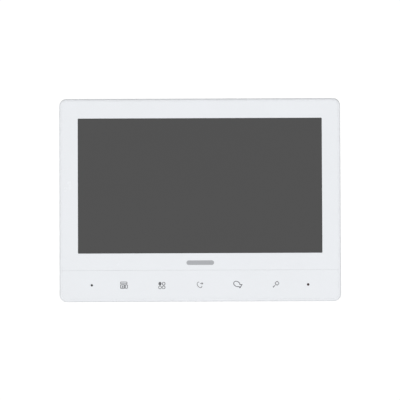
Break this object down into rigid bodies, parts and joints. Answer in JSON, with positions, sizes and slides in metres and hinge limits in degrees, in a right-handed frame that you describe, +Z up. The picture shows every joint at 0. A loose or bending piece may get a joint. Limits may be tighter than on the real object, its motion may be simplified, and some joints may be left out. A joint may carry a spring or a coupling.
{
  "type": "video intercom monitor",
  "caption": "Slim wall-mounted video intercom monitor: flush display, touch-key strip below a hairline seam, hung on a steel bracket.",
  "frame": {"origin": "centre of the front outline, projected on the wall plane, which is the back face of the wall bracket", "axes": "+X to the right of a person facing the monitor, +Y into the wall, +Z up"},
  "size_m": [0.18, 0.02, 0.13],
  "materials": {
    "white_gloss": "glossy moulded white ABS",
    "white_satin": "fine spark-textured white ABS",
    "clear_window": "clear flush window over a switched-off display",
    "zinc_steel": "zinc-plated pressed steel",
    "bright_steel": "nickel-plated steel",
    "smoked_red": "smoked red light guide",
    "led_body": "white chip housing",
    "black_rubber": "matt moulded rubber",
    "black_foam": "closed-cell foam",
    "black_plastic": "matt moulded plastic",
    "black_chip": "matt epoxy and ferrite",
    "speaker_paper": "pressed black paper",
    "lcd_dark": "polariser film",
    "aluminium_can": "bare drawn aluminium",
    "amber_flex": "polyimide film",
    "green_board": "green solder mask on glass-fibre board",
    "ivory_nylon": "natural nylon",
    "gold_spring": "gold-plated spring wire"
  },
  "bodies": {
    "bracket": {"wall_bracket": "zinc_steel"},
    "monitor": {"front_frame": "white_gloss", "screen_panel": "white_gloss", "touch_panel": "white_gloss", "display_window": "clear_window", "rear_cover": "white_satin", "indicator_lens": "smoked_red", "indicator_led": "led_body", "mic_boot": "black_rubber", "mic_capsule": "aluminium_can", "speaker_frame": "black_plastic", "speaker_magnet": "bright_steel", "speaker_gasket": "black_foam", "lcd_panel": "lcd_dark", "lcd_backlight": "aluminium_can", "lcd_gasket": "black_foam", "lcd_flex": "amber_flex", "chassis_plate": "bright_steel", "touch_board": "green_board", "main_board": "green_board", "video_processor": "black_chip", "memory_chip": "black_chip", "power_inductor": "black_chip", "door_socket_1": "ivory_nylon", "door_socket_2": "ivory_nylon", "extension_socket": "ivory_nylon", "power_socket": "ivory_nylon", "lcd_connector": "ivory_nylon", "touch_connector": "ivory_nylon", "touch_cable": "amber_flex", "touch_spring_1": "gold_spring", "touch_spring_2": "gold_spring", "touch_spring_3": "gold_spring", "touch_spring_4": "gold_spring", "touch_spring_5": "gold_spring", "capacitor_1": "aluminium_can", "capacitor_2": "aluminium_can", "capacitor_3": "aluminium_can", "rear_screw_1": "bright_steel", "rear_screw_2": "bright_steel", "rear_screw_3": "bright_steel", "rear_screw_4": "bright_steel", "board_screw_1": "bright_steel", "board_screw_2": "bright_steel", "board_screw_3": "bright_steel", "board_screw_4": "bright_steel", "chassis_screw_1": "bright_steel", "chassis_screw_2": "bright_steel", "chassis_screw_3": "bright_steel", "chassis_screw_4": "bright_steel", "chassis_screw_5": "bright_steel", "chassis_screw_6": "bright_steel"},
    "cone": {"speaker_cone": "speaker_paper"}
  },
  "joints": [
    {"name": "monitor_lift", "type": "slide", "parent": "bracket", "child": "monitor", "axis": [0, 0, 1], "range_m": [0, 0.008]},
    {"name": "speaker_cone_travel", "type": "slide", "parent": "monitor", "child": "cone", "axis": [0, 1, 0], "range_m": [-0.0004, 0.0004], "stiffness_N_per_m": 1000}
  ]
}
